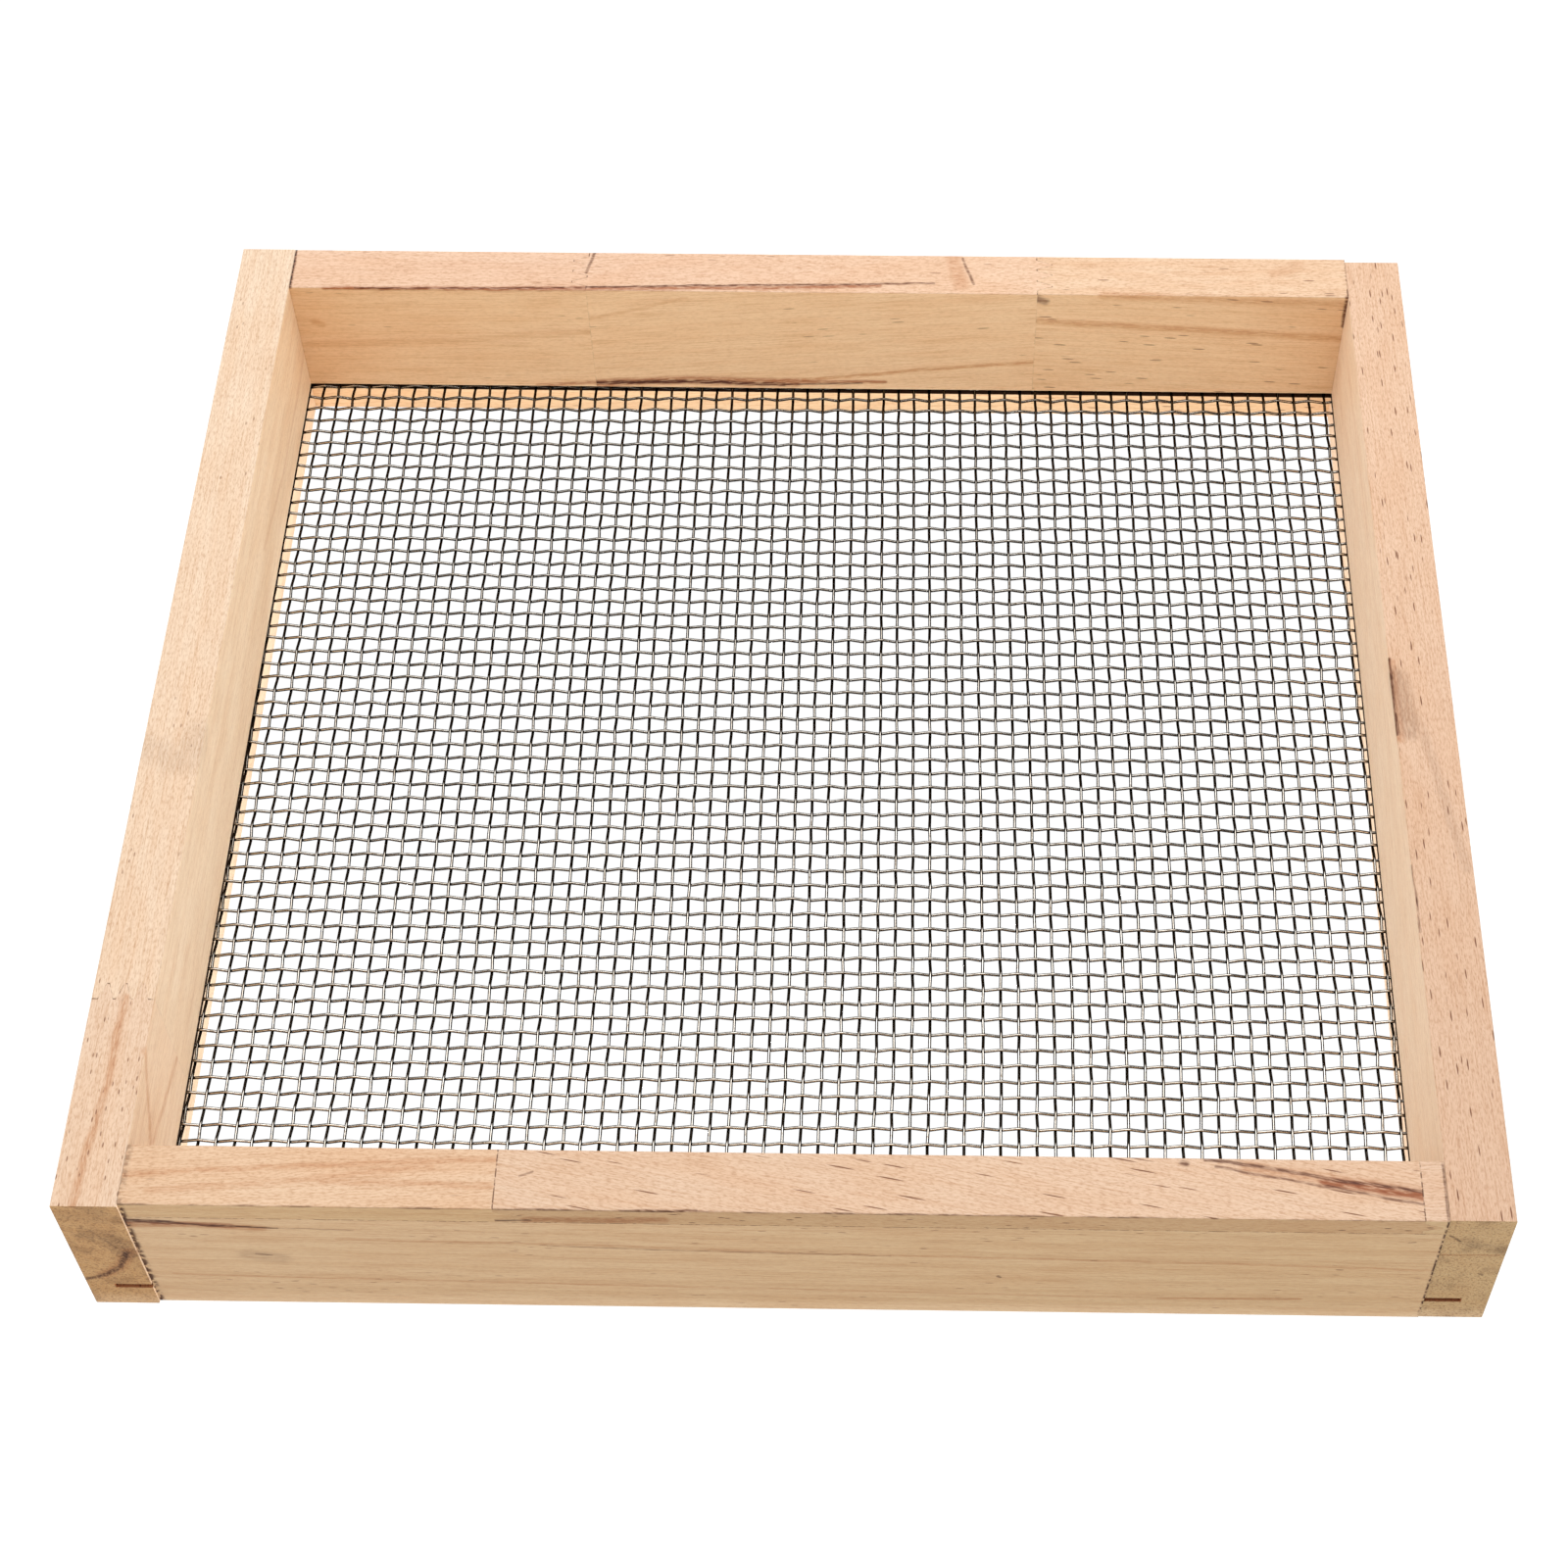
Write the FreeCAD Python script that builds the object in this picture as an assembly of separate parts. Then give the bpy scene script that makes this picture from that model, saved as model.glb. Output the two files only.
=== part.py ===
import FreeCAD, Part
import math
import os

# Queen excluder: a nailed wooden frame round a plain-woven steel wire screen.
# Millimetres. +X to the right, +Y to the back, +Z up. The origin is the centre of the base.

# ---- driving dimensions -------------------------------------------------------------------
FRAME_WIDTH = 377.0        # overall, along X
FRAME_DEPTH = 346.0        # overall, along Y, which is the length of the left rail
FRAME_HEIGHT = 57.15       # overall, along Z
RAIL = 17.3                # thickness of every rail
ARRIS = 0.4                # radius of the sanded long edges

# The rails were cut a little unevenly, so one face and two ends sit back from the overall box.
FRONT_RAIL_SETBACK = 0.7
RIGHT_RAIL_FRONT_SETBACK = 1.0
RIGHT_RAIL_BACK_SETBACK = 1.4

# Saw kerf that runs round the inside of the frame and holds the edge of the screen.
SCREEN_HEIGHT = 10.6       # middle plane of the screen, above the base
KERF_HEIGHT = 2.0
KERF_DEPTH = 10.0

# Woven screen: five wires to the inch, with a clear opening that stops a queen bee.
PITCH = 5.08
CLEAR_OPENING = 4.2
WIRE = PITCH - CLEAR_OPENING
CROSSING_GAP = 0.05        # air between the bends of two wires where they cross
WAVE = (WIRE + CROSSING_GAP) / 2      # rise and fall of each wire about the middle plane
SCREEN_GRIP = 8.5          # how far the screen reaches into the kerf
SCREEN_TURN = 0.4          # degrees the screen sits askew in the kerf, about Z
FIRST_WARP_INSET = 5.6     # first clear warp wire, from the left rail's inner face
FIRST_WEFT_INSET = 4.4     # first clear weft wire, from the back rail's inner face
HIDDEN_WARPS = 2           # wires in and at the mouth of the kerf, before the first clear one
HIDDEN_WEFTS = 2

# Finger joints that join short staves end to end.
FINGER = 4.8               # length of a finger
FINGER_PITCH = 4.8
FINGER_TIP = 0.8           # width of the flat end of a finger
RAIL_FINGERS = 3           # whole fingers across the thickness of a rail
CAP_FINGERS = 1            # whole fingers across the height of the strip on the front rail
FRONT_CAP = 7.2            # height of the strip glued along the top of the front rail
FRONT_CAP_JOINTS = (-74.5, 165.0)
BACK_RAIL_JOINTS = (-75.0, 71.0)
LEFT_RAIL_JOINT = -111.2

# Brads: two through each side rail into the end of the front or back rail.
BRAD_LENGTH = 38.0
BRAD_RADIUS = 0.8
BRAD_HEAD_RADIUS = 1.3
BRAD_HEAD_THICKNESS = 0.6
BRAD_POINT_LENGTH = 2.6
BRAD_POINT_RADIUS = 0.15   # blunt end of the point
BRAD_SINK = 0.3            # how far the head is set below the surface
BRAD_HEIGHTS = (22.0, 44.0)

# ---- derived places -----------------------------------------------------------------------
HALF_WIDTH = FRAME_WIDTH / 2
HALF_DEPTH = FRAME_DEPTH / 2
SIDE_FACE = HALF_WIDTH - RAIL                     # inner face of both side rails
FRONT_OUTER = -HALF_DEPTH + FRONT_RAIL_SETBACK
FRONT_INNER = FRONT_OUTER + RAIL
BACK_OUTER = HALF_DEPTH
BACK_INNER = BACK_OUTER - RAIL
RIGHT_FRONT_END = -HALF_DEPTH + RIGHT_RAIL_FRONT_SETBACK
RIGHT_BACK_END = HALF_DEPTH - RIGHT_RAIL_BACK_SETBACK
BEYOND = 5.0               # how far a cutting tool runs past the wood
MITRED = 1                 # the kind of corner that makePipeShell is asked for
PARALLEL = 1e-6            # sine of the largest angle between two directions called parallel


def vec(x, y, z):
    return FreeCAD.Vector(x, y, z)


def block(low, high):
    """Box between two corners."""
    size = [h - l for l, h in zip(low, high)]
    return Part.makeBox(size[0], size[1], size[2], vec(*low))


def rail_blank(low, high, along):
    """Planed bar with its four long edges, which run along axis 0 (X) or 1 (Y), sanded round."""
    bar = block(low, high)
    direction = vec(1, 0, 0) if along == 0 else vec(0, 1, 0)
    long_edges = [edge for edge in bar.Edges if edge.tangentAt(0).cross(direction).Length < PARALLEL]
    return bar.makeFillet(ARRIS, long_edges)


def kerf_cutter():
    """Ring that the saw takes out of all four rails, open at the ends of the side rails."""
    low_z = SCREEN_HEIGHT - KERF_HEIGHT / 2
    high_z = SCREEN_HEIGHT + KERF_HEIGHT / 2
    reach = SIDE_FACE + KERF_DEPTH
    front = FRONT_INNER - KERF_DEPTH
    back = BACK_INNER + KERF_DEPTH
    cross = block((-SIDE_FACE, front, low_z), (SIDE_FACE, back, high_z))
    left = block((-reach, -HALF_DEPTH - BEYOND, low_z), (-SIDE_FACE, HALF_DEPTH + BEYOND, high_z))
    right = block((SIDE_FACE, -HALF_DEPTH - BEYOND, low_z), (reach, HALF_DEPTH + BEYOND, high_z))
    return [cross, left, right]


def finger_line(low, high, count):
    """Zigzag of whole fingers centred between two levels, as (along, across) points."""
    flank = (FINGER_PITCH - 2 * FINGER_TIP) / 2
    across = (low + high) / 2 - count * FINGER_PITCH / 2 + FINGER_TIP / 2
    points = [(0.0, low - BEYOND), (0.0, across)]
    for finger in range(count):
        if finger > 0:
            points.append((0.0, across))
        points.append((FINGER, across + flank))
        points.append((FINGER, across + flank + FINGER_TIP))
        points.append((0.0, across + 2 * flank + FINGER_TIP))
        across += FINGER_PITCH
    points.append((0.0, high + BEYOND))
    return points


def joint_tool(place, pointing, line, to_point, sweep):
    """Solid on the far side of a finger joint, swept through the rail.

    place is where the joint starts along the rail, pointing is the way the fingers point,
    line the zigzag, to_point turns (along, across) into a point and sweep is the third way.
    """
    far = 2 * FRAME_WIDTH * pointing
    outline = [to_point(place + pointing * along, across) for along, across in line]
    outline.append(to_point(place + far, line[-1][1]))
    outline.append(to_point(place + far, line[0][1]))
    outline.append(outline[0])
    return Part.Face(Part.makePolygon(outline)).extrude(sweep)


def joint_seen_from_above(place, pointing, low, high, count, along):
    """Tool for a joint whose zigzag shows on the top face of a rail along X (0) or Y (1)."""
    def to_point(a, c):
        return vec(a, c, -BEYOND) if along == 0 else vec(c, a, -BEYOND)
    sweep = vec(0, 0, FRAME_HEIGHT + 2 * BEYOND)
    return joint_tool(place, pointing, finger_line(low, high, count), to_point, sweep)


def joint_seen_from_front(place, pointing, low, high, count):
    """Tool for a joint whose zigzag shows on the front face of a rail along X."""
    def to_point(a, c):
        return vec(a, -HALF_DEPTH - BEYOND, c)
    sweep = vec(0, RAIL + 2 * BEYOND, 0)
    return joint_tool(place, pointing, finger_line(low, high, count), to_point, sweep)


def brad(corner_x, corner_y, height):
    """One brad, driven in through a side rail's outer face towards the middle of the frame."""
    inward = -1 if corner_x > 0 else 1
    head_x = corner_x * HALF_WIDTH + inward * BRAD_SINK
    axis = vec(inward, 0, 0)
    head = Part.makeCylinder(BRAD_HEAD_RADIUS, BRAD_HEAD_THICKNESS, vec(head_x, corner_y, height), axis)
    shank_start = vec(head_x + inward * BRAD_HEAD_THICKNESS, corner_y, height)
    straight = BRAD_LENGTH - BRAD_POINT_LENGTH
    shank = Part.makeCylinder(BRAD_RADIUS, straight, shank_start, axis)
    point_start = vec(shank_start.x + inward * straight, corner_y, height)
    point = Part.makeCone(BRAD_RADIUS, BRAD_POINT_RADIUS, BRAD_POINT_LENGTH, point_start, axis)
    return head.fuse([shank, point]).removeSplitter()


def brad_hole(corner_x, corner_y, height):
    """The room that a brad and the punch mark over its head take up in the wood."""
    inward = -1 if corner_x > 0 else 1
    mouth = vec(corner_x * (HALF_WIDTH + BEYOND), corner_y, height)
    punch = Part.makeCylinder(BRAD_HEAD_RADIUS, BEYOND + BRAD_SINK, mouth, vec(inward, 0, 0))
    return punch.fuse(brad(corner_x, corner_y, height)).removeSplitter()


def corner_places():
    """Each corner's name, the side it is on and the level of its brads along Y."""
    front = (FRONT_OUTER + FRONT_INNER) / 2
    back = (BACK_OUTER + BACK_INNER) / 2
    return (("front_left", -1, front), ("front_right", 1, front),
            ("back_left", -1, back), ("back_right", 1, back))


def all_brad_holes():
    return [brad_hole(side, y, z) for _, side, y in corner_places() for z in BRAD_HEIGHTS]


def make_rails():
    """The four rails, each with the saw kerf and brad holes, before they part into staves."""
    top = FRAME_HEIGHT
    blanks = {
        "left": rail_blank((-HALF_WIDTH, -HALF_DEPTH, 0), (-SIDE_FACE, HALF_DEPTH, top), 1),
        "right": rail_blank((SIDE_FACE, RIGHT_FRONT_END, 0), (HALF_WIDTH, RIGHT_BACK_END, top), 1),
        "front": rail_blank((-SIDE_FACE, FRONT_OUTER, 0), (SIDE_FACE, FRONT_INNER, top), 0),
        "back": rail_blank((-SIDE_FACE, BACK_INNER, 0), (SIDE_FACE, BACK_OUTER, top), 0),
    }
    tools = kerf_cutter() + all_brad_holes()
    return {name: blank.cut(tools) for name, blank in blanks.items()}


def left_rail_staves(rail):
    tool = joint_seen_from_above(LEFT_RAIL_JOINT, 1, -HALF_WIDTH, -SIDE_FACE, RAIL_FINGERS, 1)
    return {"left_rail_rear_stave": rail.common(tool), "left_rail_front_stave": rail.cut(tool)}


def back_rail_staves(rail):
    first = joint_seen_from_above(BACK_RAIL_JOINTS[0], -1, BACK_INNER, BACK_OUTER, RAIL_FINGERS, 0)
    second = joint_seen_from_above(BACK_RAIL_JOINTS[1], 1, BACK_INNER, BACK_OUTER, RAIL_FINGERS, 0)
    return {
        "back_rail_left_stave": rail.common(first),
        "back_rail_middle_stave": rail.cut([first, second]),
        "back_rail_right_stave": rail.common(second),
    }


def front_rail_staves(rail):
    """One full-length lower stave, and the top strip, which is three staves end to end."""
    split = FRAME_HEIGHT - FRONT_CAP
    below = block((-FRAME_WIDTH, -FRAME_DEPTH, -BEYOND), (FRAME_WIDTH, 0, split))
    cap = rail.cut(below)
    first = joint_seen_from_front(FRONT_CAP_JOINTS[0], 1, split, FRAME_HEIGHT, CAP_FINGERS)
    second = joint_seen_from_front(FRONT_CAP_JOINTS[1], 1, split, FRAME_HEIGHT, CAP_FINGERS)
    return {
        "front_rail_lower_stave": rail.common(below),
        "front_rail_cap_left": cap.cut(first),
        "front_rail_cap_middle": cap.common(first).cut(second),
        "front_rail_cap_right": cap.common(second),
    }


def crimp_points(start, end, first_crossing, first_side):
    """Corners (along, rise) of a crimped wire, which is straight from one crossing to the next.

    Crossings lie one pitch apart, counted from first_crossing, where the wire is above the
    middle plane when first_side is 1 and below it when it is -1.
    """
    def rise(along):
        pitches = (along - first_crossing) / PITCH
        side = first_side if math.floor(pitches) % 2 == 0 else -first_side
        return side * WAVE * (1 - 2 * (pitches % 1))

    first = math.ceil((start - first_crossing) / PITCH)
    last = math.floor((end - first_crossing) / PITCH)
    crossings = [first_crossing + index * PITCH for index in range(first, last + 1)]
    return [(along, rise(along)) for along in [start] + crossings + [end]]


def wire(corners):
    """Solid round wire along a chain of straight legs, mitred at each corner."""
    path = Part.makePolygon(corners)
    section = Part.makeCircle(WIRE / 2, corners[0], corners[1] - corners[0])
    return path.makePipeShell([Part.Wire([section])], True, False, MITRED)


def warp_places():
    """X of every warp wire; those with an even index pass over the first clear weft."""
    first = -SIDE_FACE + FIRST_WARP_INSET
    limit = SIDE_FACE + SCREEN_GRIP - WIRE / 2
    count = math.floor((limit - first) / PITCH) + 1
    return [(index, first + index * PITCH) for index in range(-HIDDEN_WARPS, count)]


def weft_places():
    """Y of every weft wire, counted forward from the back rail."""
    first = BACK_INNER - FIRST_WEFT_INSET
    limit = FRONT_INNER - SCREEN_GRIP + WIRE / 2
    count = math.floor((first - limit) / PITCH) + 1
    return [(index, first - index * PITCH) for index in range(-HIDDEN_WEFTS, count)]


def warp_wire(side):
    """Wire that runs from front to back in the plane X = 0, above its first crossing if side is 1."""
    points = crimp_points(FRONT_INNER - SCREEN_GRIP, BACK_INNER + SCREEN_GRIP,
                          BACK_INNER - FIRST_WEFT_INSET, side)
    return wire([vec(0, along, SCREEN_HEIGHT + rise) for along, rise in points])


def weft_wire(side):
    """Wire that runs from left to right in the plane Y = 0, above its first crossing if side is 1."""
    points = crimp_points(-SIDE_FACE - SCREEN_GRIP, SIDE_FACE + SCREEN_GRIP,
                          -SIDE_FACE + FIRST_WARP_INSET, side)
    return wire([vec(along, 0, SCREEN_HEIGHT + rise) for along, rise in points])


def wire_group(master, direction, places, parity, positive):
    """Copies of a wire at every other place on one side of the middle, turned with the screen."""
    chosen = [place for index, place in places if index % 2 == parity and (place > 0) == positive]
    group = Part.makeCompound([master.translated(direction * place) for place in chosen])
    return group.rotated(vec(0, 0, 0), vec(0, 0, 1), SCREEN_TURN)


def make_screen():
    """All the wires, in groups by half of the screen and by the crossings they pass above.

    A weft is always on the other side of the warp it meets.
    """
    nodes = {}
    for parity, word, side in ((0, "even", 1), (1, "odd", -1)):
        warp, weft = warp_wire(side), weft_wire(-side)
        for half, positive in (("left", False), ("right", True)):
            name = "warp_wires_" + half + "_" + word
            nodes[name] = wire_group(warp, vec(1, 0, 0), warp_places(), parity, positive)
        for half, positive in (("front", False), ("rear", True)):
            name = "weft_wires_" + half + "_" + word
            nodes[name] = wire_group(weft, vec(0, 1, 0), weft_places(), parity, positive)
    return nodes


def make_brads():
    return {name + "_brads": Part.makeCompound([brad(side, y, z) for z in BRAD_HEIGHTS])
            for name, side, y in corner_places()}


def main():
    rails = make_rails()
    nodes = {"right_rail": rails["right"]}
    nodes.update(left_rail_staves(rails["left"]))
    nodes.update(front_rail_staves(rails["front"]))
    nodes.update(back_rail_staves(rails["back"]))
    nodes.update(make_screen())
    nodes.update(make_brads())
    os.makedirs("parts", exist_ok=True)
    for name, shape in nodes.items():
        shape.exportStep("parts/" + name + ".step")


main()
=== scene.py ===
import math
import random
from collections import namedtuple

import bpy
from mathutils import Matrix, Vector


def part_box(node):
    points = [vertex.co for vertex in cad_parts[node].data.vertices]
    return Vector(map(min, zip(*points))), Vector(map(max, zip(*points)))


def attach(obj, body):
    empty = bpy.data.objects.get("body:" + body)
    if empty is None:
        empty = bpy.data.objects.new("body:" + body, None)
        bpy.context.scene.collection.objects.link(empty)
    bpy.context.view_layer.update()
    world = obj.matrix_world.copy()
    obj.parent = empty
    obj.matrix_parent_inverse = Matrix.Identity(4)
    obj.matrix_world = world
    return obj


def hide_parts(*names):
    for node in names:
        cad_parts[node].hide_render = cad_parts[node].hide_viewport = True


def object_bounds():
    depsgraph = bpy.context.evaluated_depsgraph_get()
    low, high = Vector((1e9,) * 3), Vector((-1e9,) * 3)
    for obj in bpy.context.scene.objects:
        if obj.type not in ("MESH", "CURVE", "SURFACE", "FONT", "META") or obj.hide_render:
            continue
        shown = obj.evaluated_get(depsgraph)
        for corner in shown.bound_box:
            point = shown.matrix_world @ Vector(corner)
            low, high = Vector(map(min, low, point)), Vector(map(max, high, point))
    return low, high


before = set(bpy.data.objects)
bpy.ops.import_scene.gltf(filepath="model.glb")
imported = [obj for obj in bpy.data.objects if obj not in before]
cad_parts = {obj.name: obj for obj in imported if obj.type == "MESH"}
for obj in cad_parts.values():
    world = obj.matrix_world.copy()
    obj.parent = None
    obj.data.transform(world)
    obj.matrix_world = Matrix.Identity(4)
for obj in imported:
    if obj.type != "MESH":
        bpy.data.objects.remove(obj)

cad_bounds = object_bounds()

# Looks of a pine frame with a woven steel screen. Lengths are metres, unless a name ends in _MM or
# a comment says millimetres. Textures and marks in the wood are in the frame of the part.
MM = 0.001
X, Y, Z = 0, 1, 2

# ---- camera ---------------------------------------------------------------------------------
CAMERA_PLACE = (0.03215, -0.51788, 0.74349)
CAMERA_TILT = 36.70        # degrees from looking straight down
CAMERA_TURN = 1.10
CAMERA_ROLL = -0.25
LENS_MM = 67.746
SENSOR_MM = 36.0
SHIFT = (-0.060475, -0.05636)

# ---- stage ----------------------------------------------------------------------------------
FLOOR_HALF = 4.0           # half the width of the paper sweep
FLOOR_GAP = 0.2 * MM       # how far the sweep is under the part
FLOOR_TONE = (0.784, 0.80) # reflectance of the paper sweep, in its darker and lighter fibres
FLOOR_FIBRE_MM = 40.0
FLOOR_GLOW = 1.05          # how bright the overexposed sweep looks to the camera
FLOOR_UNDER_SHADE = 0.94         # the same, under the screen, dimmer there as a painted shadow of the frame
FLOOR_SOFT_MM = 6.0        # half the width of the change between the two
FLOOR_FILL = 1.75          # light that the lit sweep throws back at the part
FLOOR_SHADOW = 0.05        # share of real shadow left in the sweep
FLOOR_MIRROR = 0.10        # how bright the sweep looks in steel, as a dark bench would
SKY_GREY = 0.8             # reflectance-like grey that the sky's strengths are multiplied by
SKY_TOP = 1.35
SKY_EDGE = 1.30
SKY_RISE = (0.0, 0.9)      # heights between which it goes from edge to top
SKY_FRONT = 0.75           # share of the sky's light left on the camera's side
SKY_TURN = (-0.9, 0.1)     # from the camera's side to the far side
MIRROR_AXIS = (-0.16, 0.32, 0.93)    # middle of the bright ceiling that steel reflects
MIRROR_EDGE = (0.84, 0.97)           # cosines from its axis where the ceiling begins and is full
MIRROR_DIM = 0.01
MIRROR_BRIGHT = 3.10
MIRROR_RIM = (0.25, 0.70)            # what steel reflects of the walls in front of and behind the part
MIRROR_RIM_EDGE = (-0.3, 0.2)        # from the front wall to the back wall
MIRROR_RIM_TOP = (0.55, 0.30)        # heights between which the walls come in
KEY_PLACE = (0.1, 0.7, 2.0)
KEY_SIZE = 1.6
KEY_WATTS = 16.0

# ---- woven screen ---------------------------------------------------------------------------
WIRE_RADIUS = 0.44 * MM
PITCH = 5.08 * MM
SCREEN_TURN = math.radians(0.4)      # the screen sits a little askew, as the part has it
BEND = 0.8 * MM            # half the length of the bend at each crossing
WIRE_SIDES = 8
WANDER = 0.14 * MM         # slow drift of a wire from its straight line
JITTER = 0.10 * MM         # unevenness from one crossing to the next
BOW_SIDE = 0.9 * MM        # how far the front of the screen is pushed to the left
BOW_START = 0.070
BOW_LENGTH = 0.060
BOW_DEPTH = 0.5 * MM       # how far the wefts at both ends are pushed to the back
BOW_HALF = 0.125
DRIFT_TURNS = (1.0, 3.0)   # how many times that drift swings over a wire's length
SCREEN_SEED = "screen"

# ---- places on the part, in millimetres -----------------------------------------------------
TOP_MM = 57.15
SIDE_MM = 171.2            # inner faces of the side rails
FRONT_MM = -172.3          # outer face of the front rail
BACK_MM = 155.7            # inner face of the back rail
GLUE_MM = 49.95            # under the strip along the top of the front rail
KERF_MM = 10.6             # middle level of the saw kerf
KERF_HALF_MM = 1.06
LEFT_END_MM = -173.0
RIGHT_END_MM = -172.0

# ---- finger joints, as the part has them, in millimetres ------------------------------------
FINGER_MM = 4.8
FINGER_PITCH_MM = 4.8
FINGER_TIP_MM = 0.8
FINGER_LINE_MM = (0.26, 0.08)        # half widths of the drawn line, at its edge and at its core
FINGER_STRENGTH = (0.9, 0.15)        # how dark the joints are on faces up and on upright faces

# ---- small edge wear on every wooden piece --------------------------------------------------
WORN_EDGE = 0.10 * MM
WELD = 0.002 * MM
SHARP = math.radians(35)

# ---- what a stave is made of, in millimetres ------------------------------------------------
# A mark is a line of stain through points. A seam is a straight glue line where one axis is at a
# level. A joint is a zigzag of fingers: it starts at a place along the stave, its tips point up or
# down that axis, and it is centred on middle across the stave. Canals are short dark resin canals:
# their length, their spacing, how much of the wood has them, and how dark they are.
Mark = namedtuple("Mark", "stain width strength points")
Seam = namedtuple("Seam", "axis level width")
Joint = namedtuple("Joint", "along across start pointing middle count")
Canals = namedtuple("Canals", "length spacing amount strength")
# top, side and end are looks: 8-bit colours of the faces up and down, the long upright faces and the end
# grain, each with its own light and shade painted into its reflectance. top and side are pairs, for the low
# and the high end of the stave.
# pith is the middle of the growth rings across and up, ring their spacing and figure their strength.
# slope is how the grain leans sideways and up, and kerf is how far out the saw kerf reaches, and with it the
# painted shade in the kerf.
# seam_strength is how dark the seams are on faces up and on upright faces.
Stave = namedtuple("Stave", "rail slot along top side end pith ring figure canals slope kerf seams "
                            "seam_strength fingers")


def tone(red, green, blue, light):
    """Reflectance of a surface that looks like this 8-bit colour in the given red-green-blue light."""
    channels = []
    for value, strength in zip((red, green, blue), light):
        share = value / 255
        linear = share / 12.92 if share <= 0.04045 else ((share + 0.055) / 1.055) ** 2.4
        channels.append(min(linear / strength, 0.95))
    return (*channels, 1.0)


# ---- building shader nodes ------------------------------------------------------------------
SPECULAR = 0.35
MARK_CORE = 0.2            # share of a mark's width that has its full strength
SEAM_CORE = 0.3


class Graph:
    """Adds nodes to one node tree. Sockets and plain values can both be given as inputs."""

    def __init__(self, tree):
        self.tree = tree
        self.tree.nodes.clear()

    def node(self, kind, inputs, **settings):
        made = self.tree.nodes.new(kind)
        for name, value in settings.items():
            setattr(made, name, value)
        for key, value in inputs.items():
            if isinstance(value, bpy.types.NodeSocket):
                self.tree.links.new(value, made.inputs[key])
            else:
                made.inputs[key].default_value = value
        return made

    def math(self, operation, a, b=0.0, clamp=False):
        return self.node("ShaderNodeMath", {0: a, 1: b}, operation=operation, use_clamp=clamp).outputs[0]

    def vector(self, operation, a, b):
        made = self.node("ShaderNodeVectorMath", {0: a, 1: b}, operation=operation)
        return made.outputs["Value" if operation in ("DOT_PRODUCT", "DISTANCE") else "Vector"]

    def scaled(self, vector, factor):
        """A vector times a number."""
        made = self.node("ShaderNodeVectorMath", {0: vector, "Scale": factor}, operation="SCALE")
        return made.outputs["Vector"]

    def steps(self, value, low, high, to_low=0.0, to_high=1.0):
        """Smooth change from to_low to to_high while value goes from low to high."""
        inputs = {"Value": value, "From Min": low, "From Max": high, "To Min": to_low, "To Max": to_high}
        made = self.node("ShaderNodeMapRange", inputs, interpolation_type="SMOOTHSTEP", clamp=True)
        return made.outputs["Result"]

    def noise(self, place, size, detail=2.0, rough=0.5):
        """Noise from 0 to 1 whose blobs are about size millimetres along X, Y and Z."""
        scaled = self.vector("DIVIDE", place, size)
        made = self.node("ShaderNodeTexNoise",
                         {"Vector": scaled, "Scale": 1.0, "Detail": detail, "Roughness": rough})
        return made.outputs["Fac"]

    def cells(self, place, size):
        """Distance to the nearest of scattered points, in units of size."""
        scaled = self.vector("DIVIDE", place, size)
        made = self.node("ShaderNodeTexVoronoi", {"Vector": scaled, "Scale": 1.0})
        return made.outputs["Distance"]

    def blend(self, share, a, b, how="MIX"):
        """Colour a where share is 0 and colour b where it is 1."""
        made = self.node("ShaderNodeMix", {0: share, 6: a, 7: b}, data_type="RGBA", blend_type=how)
        return made.outputs[2]

    def stain(self, share, base, tint):
        """Base colour taken darker by a tint, where share is 1."""
        return self.blend(share, base, tint, "MULTIPLY")

    def millimetres(self):
        """Place on the part, in millimetres."""
        found = self.node("ShaderNodeTexCoord", {}).outputs["Object"]
        return self.scaled(found, 1 / MM)

    def surface(self, colour, roughness, height, depth_mm, metallic=0.0, edge=1.0):
        """Finishes the material. height is 0 to 1 over depth_mm, and edge dims what grazing light adds."""
        bump = self.node("ShaderNodeBump", {"Height": height, "Strength": 1.0, "Distance": depth_mm * MM})
        shader = self.node("ShaderNodeBsdfPrincipled", {
            "Base Color": colour, "Roughness": roughness, "Metallic": metallic,
            "Specular IOR Level": SPECULAR, "Specular Tint": (edge, edge, edge, 1.0),
            "Normal": bump.outputs["Normal"]})
        self.node("ShaderNodeOutputMaterial", {"Surface": shader.outputs["BSDF"]})


def new_material(name):
    """An empty material and the graph that fills it."""
    material = bpy.data.materials.new(name)
    material.use_nodes = True
    return material, Graph(material.node_tree)


def line_share(g, place, start, end, width):
    """1 on the line between two points, fading to 0 at width from it and towards its two ends."""
    start, end = Vector(start), Vector(end)
    span = end - start
    offset = g.vector("SUBTRACT", place, tuple(start))
    share = g.vector("DOT_PRODUCT", offset, tuple(span / span.length_squared))
    along = g.math("MULTIPLY", share, 1.0, clamp=True)
    nearest = g.scaled(tuple(span), along)
    return g.steps(g.vector("DISTANCE", offset, nearest), width, width * MARK_CORE)


def marks_share(g, place, marks, stain):
    """How strongly any mark of one stain shows, from 0 to 1, or None if there are none."""
    total = None
    for mark in marks:
        if mark.stain != stain:
            continue
        for start, end in zip(mark.points, mark.points[1:]):
            share = g.math("MULTIPLY", line_share(g, place, start, end, mark.width), mark.strength)
            total = share if total is None else g.math("MAXIMUM", total, share)
    return total


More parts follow.
